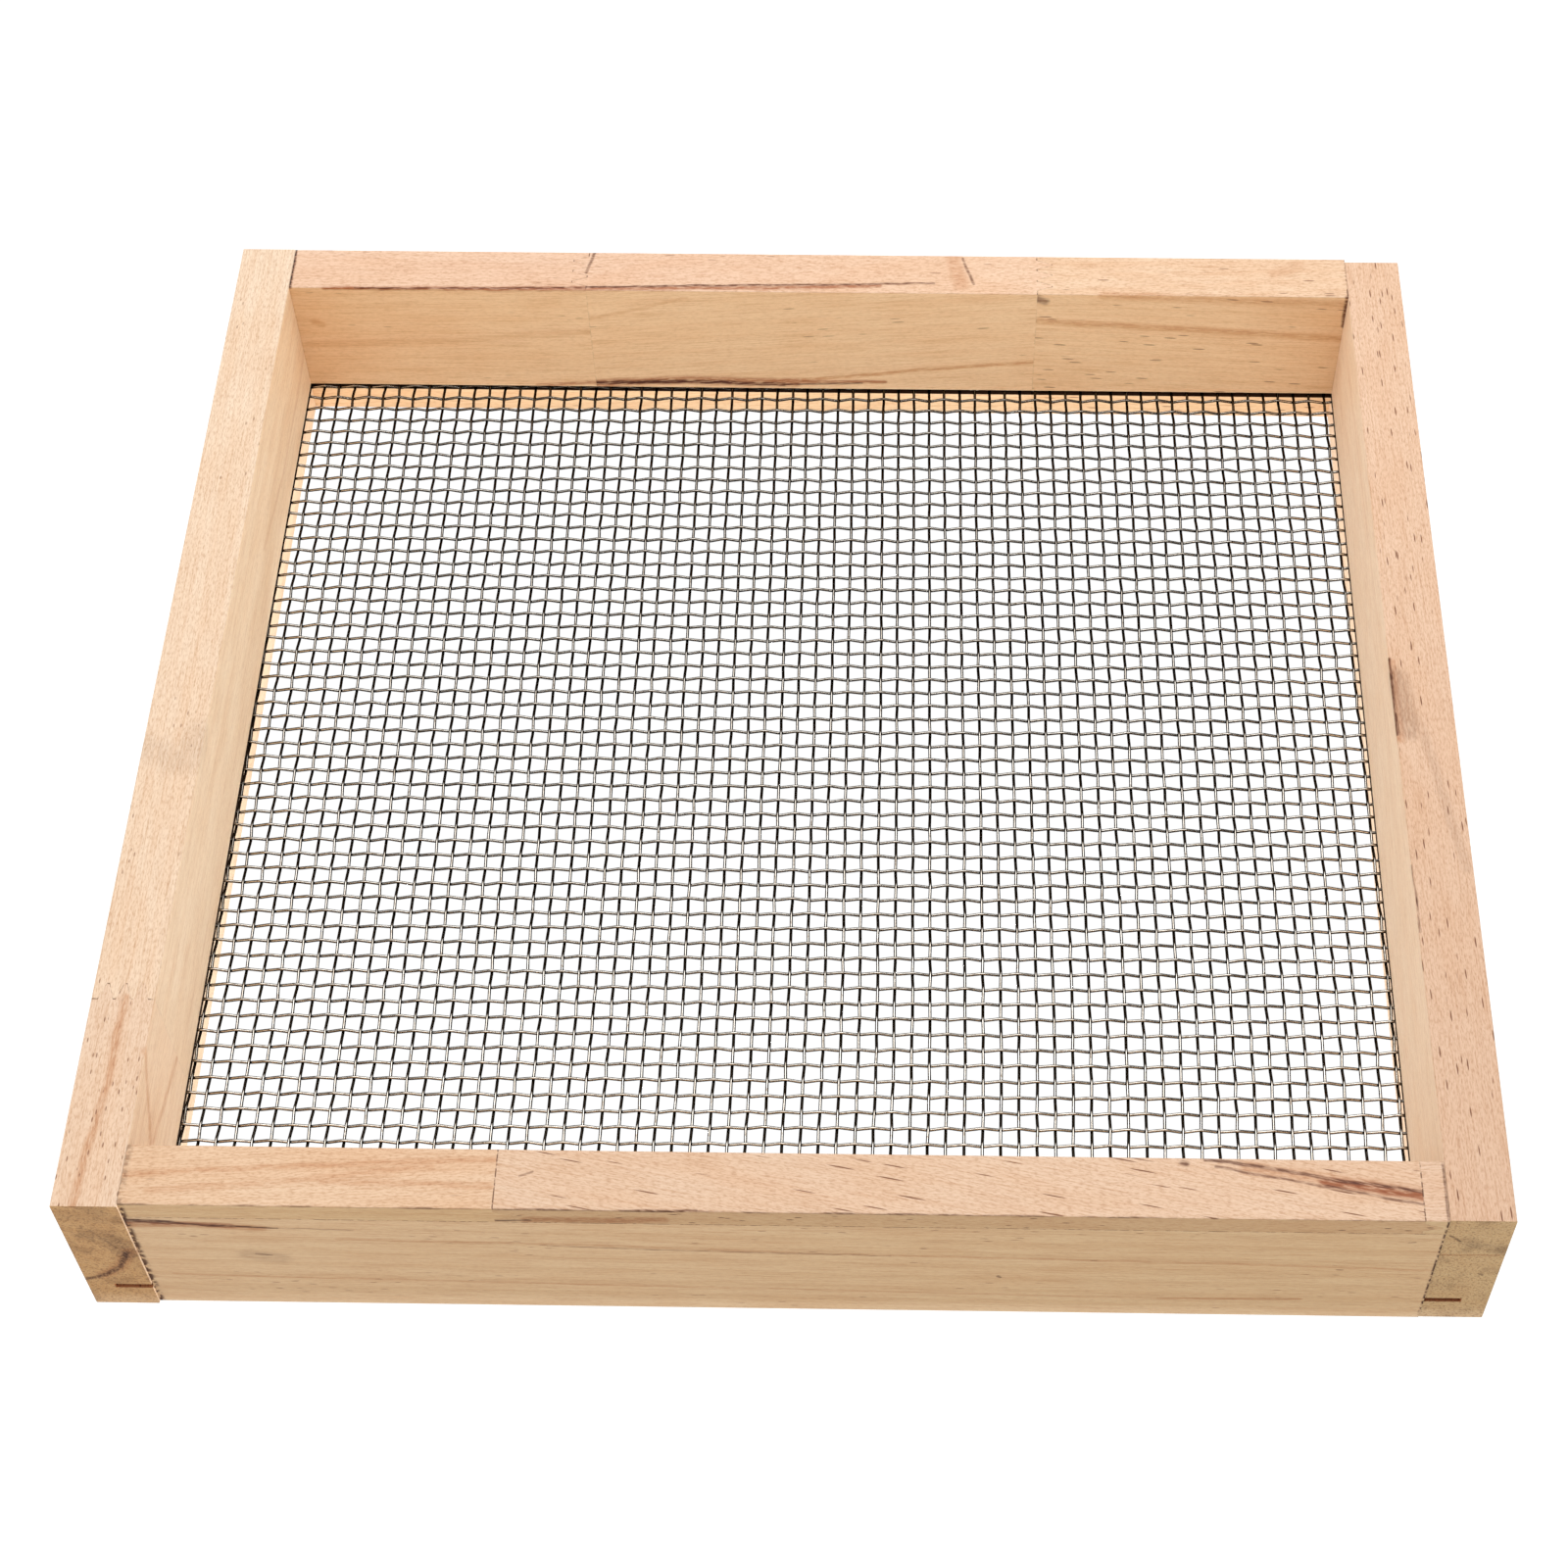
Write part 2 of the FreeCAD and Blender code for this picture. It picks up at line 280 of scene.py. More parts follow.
def finger_share(g, parts, joint):
    """1 on the zigzag of a finger joint. parts are the X, Y and Z sockets, in millimetres."""
    reach = joint.count * FINGER_PITCH_MM / 2
    offset = g.math("SUBTRACT", parts[joint.across], joint.middle)
    offset = g.math("MINIMUM", g.math("MAXIMUM", offset, -reach), reach)
    wave = g.math("PINGPONG", g.math("ADD", offset, reach), FINGER_PITCH_MM / 2)
    flank = FINGER_PITCH_MM / 2 - FINGER_TIP_MM
    rise = g.math("DIVIDE", g.math("SUBTRACT", wave, FINGER_TIP_MM / 2), flank, clamp=True)
    line = g.math("ADD", g.math("MULTIPLY", rise, joint.pointing * FINGER_MM), joint.start)
    return g.steps(g.math("ABSOLUTE", g.math("SUBTRACT", parts[joint.along], line)), *FINGER_LINE_MM)


def seam_share(g, parts, seam):
    """1 on a straight glue line. parts are the X, Y and Z sockets, in millimetres."""
    offset = g.math("ABSOLUTE", g.math("SUBTRACT", parts[seam.axis], seam.level))
    return g.steps(offset, seam.width, seam.width * SEAM_CORE)


def strongest(g, shares):
    """The largest of several shares."""
    total = shares[0]
    for share in shares[1:]:
        total = g.math("MAXIMUM", total, share)
    return total


def round_size(size_mm):
    """The same size along X, Y and Z."""
    return (size_mm, size_mm, size_mm)


# ---- pine -----------------------------------------------------------------------------------
# Red, green and blue light that reaches each kind of face, so that tones can be given as they look in that
# light. Inside the frame it is warmer, because the wood throws it back. One stave thus gets a separate
# reflectance on its top, underside, inner and outer faces and ends, and from one end to the other: partly the
# wood's own tone, partly painted light and shade.
UP_LIGHT = (1.165, 1.11, 1.09)
FRONT_LIGHT = (1.48, 1.46, 1.60)
INNER_LIGHT = (0.84, 0.80, 0.78)
BACK_LIGHT = (0.86, 0.79, 0.79)
OUTER_LIGHT = (1.75, 1.72, 1.80)
UNDER_LIGHT = (1.95, 1.92, 1.92)
RAIL_LIGHTS = {            # way out of the frame, light on the inner face, light on the outer face
    "left": ((-1.0, 0.0, 0.0), INNER_LIGHT, OUTER_LIGHT),
    "right": ((1.0, 0.0, 0.0), INNER_LIGHT, OUTER_LIGHT),
    "front": ((0.0, -1.0, 0.0), INNER_LIGHT, FRONT_LIGHT),
    "back": ((0.0, 1.0, 0.0), BACK_LIGHT, OUTER_LIGHT),
}

STAINS = {
    "brown": (0.74, 0.52, 0.36, 1.0),
    "red": (0.52, 0.27, 0.15, 1.0),
    "dark": (0.22, 0.12, 0.08, 1.0),
    "grey": (0.62, 0.57, 0.54, 1.0),
}
# Tints that the base colour is multiplied by, and the colour the upright faces fade to near their low edge,
# which is painted light and shade near the floor: the outer faces lighter there, the inner faces darker.
LATEWOOD = (0.90, 0.76, 0.62, 1.0)
WARM = (0.95, 0.87, 0.79, 1.0)
FIBRE = (0.76, 0.62, 0.50, 1.0)
FLECK = (0.72, 0.60, 0.50, 1.0)
CANAL = (0.32, 0.19, 0.13, 1.0)
JOINT = (0.20, 0.12, 0.08, 1.0)
# painted shade inside the saw kerf: near black deep in, brown near the open front end
KERF_SHADE = (0.10, 0.06, 0.04, 1.0)
KERF_END_SHADE = (0.60, 0.32, 0.18, 1.0)
PORE = (0.50, 0.42, 0.34, 1.0)
LOW_EDGE_LIGHT = (0.62, 0.46, 0.30, 1.0)
LOW_EDGE_LIGHT_MM = 8.0         # the upright faces fade to this painted low-edge light below this height
LOW_EDGE_LIGHT_STRENGTH = 0.35

# Sizes of the wood's textures in millimetres, along, across and up the stave.
DRIFT_SIZE = (90.0, 25.0, 25.0)      # slow drift of the growth rings
DRIFT_MM = 6.0
FIBRE_SIZE = (16.0, 0.55, 0.55)
FLECK_SIZE = (1.7, 0.42, 0.42)
MOTTLE_SIZE = (30.0, 9.0, 9.0)
PATCH_SIZE = (38.0, 8.0, 8.0)        # patches that have resin canals
BREAK_SIZE = (3.5, 0.5, 0.5)         # fibres that break up the marks
PORE_MM = 0.8
CLOUD_MM = 9.0
WOBBLE_MM = 9.0                      # distance over which marks bend
WOBBLE_REACH_MM = 1.4                # and how far they bend
DOT_MM = 1.6                         # breaks in glue lines and joints

# Levels of each texture between which it comes in, then its strength where that is not 1.
LATE_START = (0.30, 0.88)            # shares of a ring
LATE_STOP = (1.0, 0.90)
MOTTLE_LEVELS = (0.35, 0.75, 0.0, 0.55)
FIBRE_LEVELS = (0.42, 0.78, 0.0, 0.62)
FLECK_LEVELS = (0.42, 0.72)
FLECK_STRENGTH = (0.35, 0.75)        # on upright faces and on faces up
CANAL_LEVELS = (0.18, 0.11)
PATCH_LEVELS = (0.66, 0.72)
PORE_LEVELS = (0.52, 0.64, 0.0, 0.5)
CLOUD_LEVELS = (0.50, 0.68, 0.0, 0.45)
BREAK_LEVELS = (0.30, 0.58, 0.35, 1.0)
DOT_LEVELS = (0.42, 0.56, 0.12, 1.0)
TOP_EDGE = (0.45, 0.75)              # how level a face is, from upright to up or down
END_EDGE = (0.6, 0.9)                # how squarely a face looks along the stave
KERF_END_MM = 5.0                    # depth over which the painted shade in the kerf deepens from the front end
WOOD_ROUGHNESS = (0.52, 0.44)        # of early wood and late wood
WOOD_RELIEF_MM = 0.05


def growth_rings(g, grain, run_parts, pith, ring_mm):
    """Bands of latewood round the pith, drifting slowly along the stave."""
    drift = g.noise(grain, DRIFT_SIZE, 2.0)
    drift = g.math("MULTIPLY", g.math("SUBTRACT", drift, 0.5), DRIFT_MM)
    b = g.math("ADD", g.math("SUBTRACT", run_parts[0], pith[0]), drift)
    c = g.math("SUBTRACT", run_parts[1], pith[1])
    square = g.math("ADD", g.math("MULTIPLY", b, b), g.math("MULTIPLY", c, c))
    ring = g.math("FRACT", g.math("DIVIDE", g.math("SQRT", square), ring_mm))
    return g.math("MULTIPLY", g.steps(ring, *LATE_START), g.steps(ring, *LATE_STOP))


def pine(name, stave, marks):
    """Planed pine as a solid texture, for one stave."""
    material, g = new_material(name)
    place = g.millimetres()
    x, y, z = parts = tuple(g.node("ShaderNodeSeparateXYZ", {0: place}).outputs)
    run, side = (x, y) if stave.along == X else (y, x)
    leaning_side = g.math("ADD", side, g.math("MULTIPLY", run, stave.slope[0]))
    leaning_rise = g.math("ADD", z, g.math("MULTIPLY", run, stave.slope[1]))
    grain = g.node("ShaderNodeCombineXYZ", {0: run, 1: leaning_side, 2: leaning_rise}).outputs[0]

    late = growth_rings(g, grain, (leaning_side, leaning_rise), stave.pith, stave.ring)
    fibre = g.noise(grain, FIBRE_SIZE, 3.0, 0.6)
    fleck = g.noise(grain, FLECK_SIZE, 2.0, 0.6)
    mottle = g.noise(grain, MOTTLE_SIZE, 3.0)

    # the tone of each face, from one end of the stave to the other
    low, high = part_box(name)
    share = g.steps(run, low[stave.along] / MM, high[stave.along] / MM)
    normal = g.node("ShaderNodeNewGeometry", {}).outputs["Normal"]
    axis = (1.0, 0.0, 0.0) if stave.along == X else (0.0, 1.0, 0.0)
    rise = g.vector("DOT_PRODUCT", normal, (0.0, 0.0, 1.0))
    is_top = g.steps(g.math("ABSOLUTE", rise), *TOP_EDGE)
    outward, inner_light, outer_light = RAIL_LIGHTS[stave.rail]
    is_outer = g.math("GREATER_THAN", g.vector("DOT_PRODUCT", normal, outward), 0.0)
    is_end = g.steps(g.math("ABSOLUTE", g.vector("DOT_PRODUCT", normal, axis)), *END_EDGE)

    def lit(looks, light):
        """A pair of looks in one light, blended from one end of the stave to the other."""
        return g.blend(share, *(tone(*look, light) for look in looks))

    is_under = g.math("LESS_THAN", rise, 0.0)
    # each kind of face gets its own reflectance, with its light and shade painted in
    flat = g.blend(is_under, lit(stave.top, UP_LIGHT), lit(stave.top, UNDER_LIGHT))
    upright = g.blend(is_outer, lit(stave.side, inner_light), lit(stave.side, outer_light))
    base = g.blend(is_end, g.blend(is_top, upright, flat), tone(*stave.end, FRONT_LIGHT))
    # painted light and shade along the bottom of the upright faces, near the floor
    low_edge_light = g.steps(z, LOW_EDGE_LIGHT_MM, 0.0, 0.0, LOW_EDGE_LIGHT_STRENGTH)
    base = g.blend(g.math("MULTIPLY", low_edge_light, g.math("SUBTRACT", 1.0, is_top)), base, LOW_EDGE_LIGHT)

    base = g.stain(g.math("MULTIPLY", late, stave.figure), base, LATEWOOD)
    base = g.stain(g.steps(mottle, *MOTTLE_LEVELS), base, WARM)
    base = g.stain(g.steps(fibre, *FIBRE_LEVELS), base, FIBRE)
    flecked = g.math("MULTIPLY", g.steps(fleck, *FLECK_LEVELS), g.steps(is_top, 0.0, 1.0, *FLECK_STRENGTH))
    base = g.stain(flecked, base, FLECK)

    # short dark resin canals, in patches, not on end grain and on the side rails only on top
    canals = stave.canals
    shown = g.math("SUBTRACT", 1.0, is_end) if stave.along == X else is_top
    canal = g.steps(g.cells(grain, (canals.length, canals.spacing, canals.spacing)), *CANAL_LEVELS)
    patch_low, patch_high = (level - canals.amount for level in PATCH_LEVELS)
    patch = g.steps(g.noise(grain, PATCH_SIZE, 1.0), patch_low, patch_high, 0.0, canals.strength)
    canal = g.math("MULTIPLY", g.math("MULTIPLY", canal, patch), shown)
    base = g.stain(canal, base, CANAL)

    # end grain is pored instead of streaked
    pores = g.noise(place, round_size(PORE_MM), 1.0)
    base = g.stain(g.math("MULTIPLY", is_end, g.steps(pores, *PORE_LEVELS)), base, PORE)
    clouds = g.noise(place, round_size(CLOUD_MM), 3.0)
    base = g.stain(g.math("MULTIPLY", is_end, g.steps(clouds, *CLOUD_LEVELS)), base, PORE)

    # marks that belong to this stave alone, a little bent and broken up
    wobble_place = g.vector("DIVIDE", place, round_size(WOBBLE_MM))
    wobble = g.node("ShaderNodeTexNoise", {"Vector": wobble_place, "Scale": 1.0, "Detail": 3.0})
    wobble = g.vector("SUBTRACT", wobble.outputs["Color"], (0.5, 0.5, 0.5))
    bent = g.vector("ADD", place, g.scaled(wobble, WOBBLE_REACH_MM))
    broken = g.steps(g.noise(grain, BREAK_SIZE, 2.0), *BREAK_LEVELS)
    for stain, tint in STAINS.items():
        mark = marks_share(g, bent, marks, stain)
        if mark is not None:
            base = g.stain(g.math("MULTIPLY", mark, broken), base, tint)

    # glue lines, finger joints, and painted shade in the saw kerf
    dotted = g.steps(g.noise(place, round_size(DOT_MM), 2.0), *DOT_LEVELS)
    seams = [seam_share(g, parts, seam) for seam in stave.seams]
    fingers = [finger_share(g, parts, joint) for joint in stave.fingers]
    for shares, (strength_up, strength_upright) in ((seams, stave.seam_strength), (fingers, FINGER_STRENGTH)):
        if shares:
            shown = g.steps(is_top, 0.0, 1.0, strength_upright, strength_up)
            share = g.math("MULTIPLY", g.math("MULTIPLY", strongest(g, shares), dotted), shown)
            base = g.stain(share, base, JOINT)
    # painted shade in the slot of the saw kerf, deepening from the front end inwards
    level = g.math("ABSOLUTE", g.math("SUBTRACT", z, KERF_MM))
    kerf_shade = g.math("MULTIPLY", g.math("LESS_THAN", level, KERF_HALF_MM),
                    g.math("LESS_THAN", g.math("ABSOLUTE", side), stave.kerf))
    depth = g.steps(y, LEFT_END_MM, LEFT_END_MM + KERF_END_MM)
    base = g.stain(kerf_shade, base, g.blend(depth, KERF_END_SHADE, KERF_SHADE))

    roughness = g.math("ADD", g.math("MULTIPLY", fibre, 0.2), g.steps(late, 0.0, 1.0, *WOOD_ROUGHNESS))
    height = g.math("ADD", g.math("MULTIPLY", fibre, 0.6), g.math("MULTIPLY", fleck, 0.4))
    height = g.math("SUBTRACT", height, g.math("MULTIPLY", canal, 0.8))
    g.surface(base, roughness, height, WOOD_RELIEF_MM)
    return material


# ---- steel ----------------------------------------------------------------------------------
STEEL_DULL = (0.62, 0.56, 0.48, 1.0)
STEEL_CLEAN = (0.82, 0.78, 0.72, 1.0)
STEEL_GRIME = (0.28, 0.20, 0.13, 1.0)
STEEL_SHADE = (0.030, 0.021, 0.013, 1.0)     # painted shade at the outline of each wire, and next to the side rails where the wires run into the kerf
SHADE_FACING = (0.02, 0.22)                  # from facing the camera to the outline
SHADE_START_MM, SHADE_FULL_MM = 1.4, 0.4     # distances from the side rails
SHADE_STRENGTH = 0.8
WIRE_EDGE = 0.05
WIRE_ROUGHNESS = (0.18, 0.32)
WIRE_RELIEF_MM = 0.008
BRAD_BRIGHT = (0.55, 0.55, 0.55, 1.0)
BRAD_TARNISH = (0.30, 0.25, 0.20, 1.0)
BRAD_ROUGHNESS = (0.3, 0.6)
BRAD_RELIEF_MM = 0.02


def wire_steel():
    """Drawn steel wire, warm grey, with drawing lines, duller spots and grime, and painted shade at its
    outline and next to the side rails.
    """
    material, g = new_material("wire_steel")
    place = g.millimetres()
    dull = g.noise(place, round_size(6.0), 3.0)
    grime = g.noise(place, round_size(1.3), 3.0)
    drawn = g.noise(place, round_size(0.12), 2.0)
    colour = g.blend(g.steps(dull, 0.3, 0.7), STEEL_DULL, STEEL_CLEAN)
    colour = g.blend(g.steps(grime, 0.52, 0.72, 0.0, 0.65), colour, STEEL_GRIME)
    facing = g.node("ShaderNodeLayerWeight", {"Blend": 0.5}).outputs["Facing"]
    outer = g.math("ABSOLUTE", g.node("ShaderNodeSeparateXYZ", {0: place}).outputs[X])
    # painted shade where the wires run into the kerf beside the side rails
    beside = g.steps(outer, SIDE_MM - SHADE_START_MM, SIDE_MM - SHADE_FULL_MM, 0.0, SHADE_STRENGTH)
    colour = g.blend(beside, colour, STEEL_SHADE)
    # painted shade at the outline of each wire
    colour = g.blend(g.steps(facing, *SHADE_FACING), colour, STEEL_SHADE)
    roughness = g.steps(dull, 0.2, 0.8, *WIRE_ROUGHNESS)
    g.surface(colour, roughness, drawn, WIRE_RELIEF_MM, metallic=1.0, edge=WIRE_EDGE)
    return material


def brad_steel():
    """Bright nail steel with fine scratches and a little tarnish."""
    material, g = new_material("brad_steel")
    place = g.millimetres()
    scratch = g.noise(place, (0.1, 1.2, 0.1), 2.0)
    tarnish = g.noise(place, round_size(1.0), 3.0)
    colour = g.blend(g.steps(tarnish, 0.4, 0.7), BRAD_BRIGHT, BRAD_TARNISH)
    roughness = g.steps(tarnish, 0.3, 0.8, *BRAD_ROUGHNESS)
    g.surface(colour, roughness, scratch, BRAD_RELIEF_MM, metallic=1.0)
    return material


# ---- screen wires ---------------------------------------------------------------------------
def wire_places(node, axis):
    """Centres of one group's wires across the way they run, before the screen is turned."""
    low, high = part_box(node)
    swing = (high[1 - axis] - low[1 - axis]) / 2 * math.sin(SCREEN_TURN)
    first = low[axis] + WIRE_RADIUS + swing
    last = high[axis] - WIRE_RADIUS - swing
    count = round((last - first) / (2 * PITCH)) + 1
    middle = (first + last) / 2
    return [middle + (index - (count - 1) / 2) * 2 * PITCH for index in range(count)]


def wire_ends(node, run):
    """Where one group's wires start and end along the way they run, before the turn."""
    low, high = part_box(node)
    places = wire_places(node, 1 - run)
    sine = math.sin(SCREEN_TURN)
    if run == Y:
        return low[Y] - places[0] * sine, high[Y] - places[-1] * sine
    return low[X] + places[-1] * sine, high[X] + places[0] * sine


def wire_points(start, end, crossings, over, wave):
    """(along, rise) of a crimped wire: straight legs with a short round bend at each crossing.

    crossings lists (place, parity) in order and over is the parity the wire passes above.
    """
    slope = 2 * wave / (PITCH - BEND)
    drop = slope * BEND / 2
    points = []
    for place, parity in crossings:
        side = 1 if parity == over else -1
        for step, rise in ((-BEND, wave - drop), (0.0, wave), (BEND, wave - drop)):
            if start < place + step < end:
                points.append((place + step, side * rise))
    return [(start, points[0][1])] + points + [(end, points[-1][1])]


def bowed(point):
    """Point of the screen after the slow bend that the whole screen has, and its turn."""
    front = min(max((-point.y - BOW_START) / BOW_LENGTH, 0.0), 1.0)
    depth = min((point.y / BOW_HALF) ** 2, 1.0) - 0.5
    moved = point + Vector((-BOW_SIDE * front ** 2, BOW_DEPTH * depth, 0.0))
    return Matrix.Rotation(SCREEN_TURN, 3, "Z") @ moved


def woven(node, run, others, over):
    """One mesh for a group of wires that run along axis run.

    others lists the groups it crosses, as (node, parity), and over is the parity it passes above.
    """
    across = 1 - run
    low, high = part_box(node)
    middle = (low[Z] + high[Z]) / 2
    wave = (high[Z] - low[Z]) / 2 - WIRE_RADIUS
    start, end = wire_ends(node, run)
    crossings = sorted((place, parity) for other, parity in others for place in wire_places(other, run))
    chance = random.Random(SCREEN_SEED + node)
    vertices, faces = [], []
    for centre in wire_places(node, across):
        drift, phase = chance.uniform(-WANDER, WANDER), chance.uniform(0, math.tau)
        turns = chance.uniform(*DRIFT_TURNS)
        path = []
        shift = 0.0
        for index, (along, rise) in enumerate(wire_points(start, end, crossings, over, wave)):
            if index % 3 == 1:       # the first of the three points of each bend
                shift = chance.uniform(-JITTER, JITTER)
            share = (along - start) / (end - start)
            point = [0.0, 0.0, middle + rise]
            point[run] = along
            point[across] = centre + shift + drift * math.sin(phase + math.tau * turns * share)
            path.append(bowed(Vector(point)))
        add_tube(vertices, faces, path, Vector((across == X, across == Y, 0)))
    mesh = bpy.data.meshes.new("woven_" + node)
    mesh.from_pydata(vertices, [], faces)
    mesh.shade_smooth()
    piece = bpy.data.objects.new("woven_" + node, mesh)
    bpy.context.scene.collection.objects.link(piece)
    return piece


def add_tube(vertices, faces, path, across):
    """Rings of points round a path, joined by faces and closed at both ends."""
    first = len(vertices)
    for index, point in enumerate(path):
        before = path[max(index - 1, 0)]
        after = path[min(index + 1, len(path) - 1)]
        up = (after - before).normalized().cross(across).normalized()
        for side in range(WIRE_SIDES):
            turn = math.tau * side / WIRE_SIDES
            offset = across * math.cos(turn) + up * math.sin(turn)
            vertices.append(point + offset * WIRE_RADIUS)
    for ring in range(len(path) - 1):
        for side in range(WIRE_SIDES):
            a = first + ring * WIRE_SIDES + side
            b = first + ring * WIRE_SIDES + (side + 1) % WIRE_SIDES
            faces.append((a, b, b + WIRE_SIDES, a + WIRE_SIDES))
    last = first + (len(path) - 1) * WIRE_SIDES
    faces.append(tuple(range(first, first + WIRE_SIDES))[::-1])
    faces.append(tuple(range(last, last + WIRE_SIDES)))


def weave_screen(material):
    """Replaces the groups of wires with smooth, slightly uneven ones."""
    words = ("even", "odd")
    warps = [("warp_wires_" + half + "_" + word, parity)
             for half in ("left", "right") for parity, word in enumerate(words)]
    wefts = [("weft_wires_" + half + "_" + word, parity)
             for half in ("front", "rear") for parity, word in enumerate(words)]
    groups = [(node, Y, wefts, parity) for node, parity in warps]
    groups += [(node, X, warps, 1 - parity) for node, parity in wefts]
    for node, run, others, over in groups:
        piece = woven(node, run, others, over)
        piece.data.materials.append(material)
        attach(piece, "root")
        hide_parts(node)


# ---- the staves -----------------------------------------------------------------------------
LEFT_JOINT = Joint(along=Y, across=X, start=-111.2, pointing=1, middle=-179.85, count=3)
BACK_JOINTS = (Joint(along=X, across=Y, start=-75.0, pointing=-1, middle=164.35, count=3),
               Joint(along=X, across=Y, start=71.0, pointing=1, middle=164.35, count=3))
CAP_JOINTS = (Joint(along=X, across=Z, start=-74.5, pointing=1, middle=53.55, count=1),
              Joint(along=X, across=Z, start=165.0, pointing=1, middle=53.55, count=1))
GLUE = Seam(Z, GLUE_MM, 0.16)
BUTTS = (Seam(X, -SIDE_MM, 2.0), Seam(X, SIDE_MM, 0.8))
BACK_BUTTS = (Seam(X, -SIDE_MM, 0.6), Seam(X, SIDE_MM, 0.5))
FRONT_SEAMS = (0.45, 1.0)
BACK_SEAMS = (1.0, 0.12)
NO_SEAMS = (0.0, 0.0)
SIDE_KERF_MM = SIDE_MM + 10.1
CROSS_KERF_MM = 165.8
FEW_CANALS = Canals(9.0, 1.6, 0.05, 0.35)
STRAIGHT = (0.0, 0.0)
LEFT_END = (191, 147, 95)            # the staves whose ends are out of sight have it too
RIGHT_END = (190, 156, 111)
FRONT_SIDE = ((206, 172, 136), (201, 167, 128))
PINK_SIDE = ((222, 176, 133), (224, 181, 140))


def side_stave(**facts):
    """A stave of the left or right rail, unless facts say otherwise."""
    common = dict(along=Y, slope=STRAIGHT, kerf=SIDE_KERF_MM, seams=(), seam_strength=NO_SEAMS, fingers=())
    return Stave(**{**common, **facts})


def cap_stave(**facts):
    """A stave of the strip along the top of the front rail."""
    return Stave(rail="front", slot="pine_front_cap", along=X, end=LEFT_END, ring=4.0,
                 kerf=CROSS_KERF_MM, seam_strength=FRONT_SEAMS, **facts)


def back_stave(**facts):
    """A stave of the back rail."""
    return Stave(rail="back", along=X, end=LEFT_END, kerf=CROSS_KERF_MM, seam_strength=BACK_SEAMS, **facts)


def staves():
    """What each stave is made of."""
    return {
        "left_rail_rear_stave": side_stave(
            rail="left", slot="pine_left", end=LEFT_END, fingers=(LEFT_JOINT,),
            top=((244, 212, 183), (248, 218, 190)), side=((236, 203, 172), (234, 198, 162)),
            pith=(-230.0, 20.0), ring=4.0, figure=0.18, canals=Canals(5.0, 1.6, 0.10, 0.6)),
        "left_rail_front_stave": side_stave(
            rail="left", slot="pine_left", end=LEFT_END, fingers=(LEFT_JOINT,),
            top=((240, 205, 176), (240, 206, 178)), side=((232, 200, 169), (233, 201, 170)),
            pith=(-205.0, -12.0), ring=5.0, figure=0.15, canals=Canals(5.5, 1.3, 0.34, 0.8)),
        "right_rail": side_stave(
            rail="right", slot="pine_right", end=RIGHT_END, slope=(0.03, 0.0),
            top=((228, 187, 157), (241, 200, 169)), side=((231, 201, 171), (231, 199, 168)),
            pith=(180.0, 130.0), ring=4.5, figure=0.12, canals=Canals(12.0, 1.25, 0.70, 1.0)),
        "front_rail_lower_stave": Stave(
            rail="front", slot="pine_front_face", along=X, end=LEFT_END, slope=(0.0, 0.02),
            top=FRONT_SIDE, side=FRONT_SIDE,
            pith=(-160.0, -60.0), ring=7.0, figure=0.20, canals=Canals(8.0, 1.4, 0.12, 0.6),
            kerf=CROSS_KERF_MM, seams=(GLUE, *BUTTS), seam_strength=FRONT_SEAMS, fingers=()),
        "front_rail_cap_left": cap_stave(
            top=((237, 199, 165), (236, 197, 163)), side=((200, 165, 124), (199, 164, 122)),
            pith=(-150.0, 10.0), figure=0.25, canals=FEW_CANALS, slope=(-0.05, 0.0),
            seams=(GLUE, *BUTTS), fingers=CAP_JOINTS[:1]),
        "front_rail_cap_middle": cap_stave(
            top=((234, 197, 167), (236, 198, 168)), side=((191, 155, 115), (191, 154, 114)),
            pith=(-150.0, 110.0), figure=0.12, canals=Canals(24.0, 1.4, 0.26, 0.95), slope=(0.19, 0.0),
            seams=(GLUE,), fingers=CAP_JOINTS),
        "front_rail_cap_right": cap_stave(
            top=((234, 196, 167), (234, 196, 167)), side=((198, 165, 124), (198, 165, 124)),
            pith=(-150.0, 110.0), figure=0.1, canals=FEW_CANALS, slope=STRAIGHT,
            seams=(GLUE, *BUTTS), fingers=CAP_JOINTS[1:]),
        "back_rail_left_stave": back_stave(
            slot="pine_back_pink", slope=(0.0, -0.02),
            top=((244, 203, 173), (243, 201, 171)), side=PINK_SIDE,
            pith=(150.0, 110.0), ring=6.0, figure=0.20, canals=FEW_CANALS,
            seams=BACK_BUTTS, fingers=BACK_JOINTS[:1]),
        "back_rail_middle_stave": back_stave(
            slot="pine_back_pink", slope=(0.0, -0.08),
            top=((243, 201, 171), (246, 205, 173)), side=((224, 181, 140), (224, 182, 142)),
            pith=(150.0, -20.0), ring=6.0, figure=0.20, canals=Canals(14.0, 2.0, 0.10, 0.5),
            seams=(), fingers=BACK_JOINTS),
        "back_rail_right_stave": back_stave(
            slot="pine_back_pale", slope=(0.0, 0.045),
            top=((246, 207, 173), (246, 207, 173)), side=((223, 180, 139), (221, 178, 137)),
            pith=(140.0, 90.0), ring=3.5, figure=0.22, canals=Canals(14.0, 1.6, 0.22, 0.8),
            seams=BACK_BUTTS, fingers=BACK_JOINTS[1:]),
    }


def on_face(axis, level_mm):
    """A function that puts pairs of coordinates on the plane where one axis has this level."""
    def placed(*pairs):
        return tuple((*pair[:axis], level_mm, *pair[axis:]) for pair in pairs)
    return placed


on_top = on_face(Z, TOP_MM)
on_front = on_face(Y, FRONT_MM)
on_back_inner = on_face(Y, BACK_MM)
on_left_inner = on_face(X, -SIDE_MM)
on_right_inner = on_face(X, SIDE_MM)
on_left_end = on_face(Y, LEFT_END_MM)
on_right_end = on_face(Y, RIGHT_END_MM)


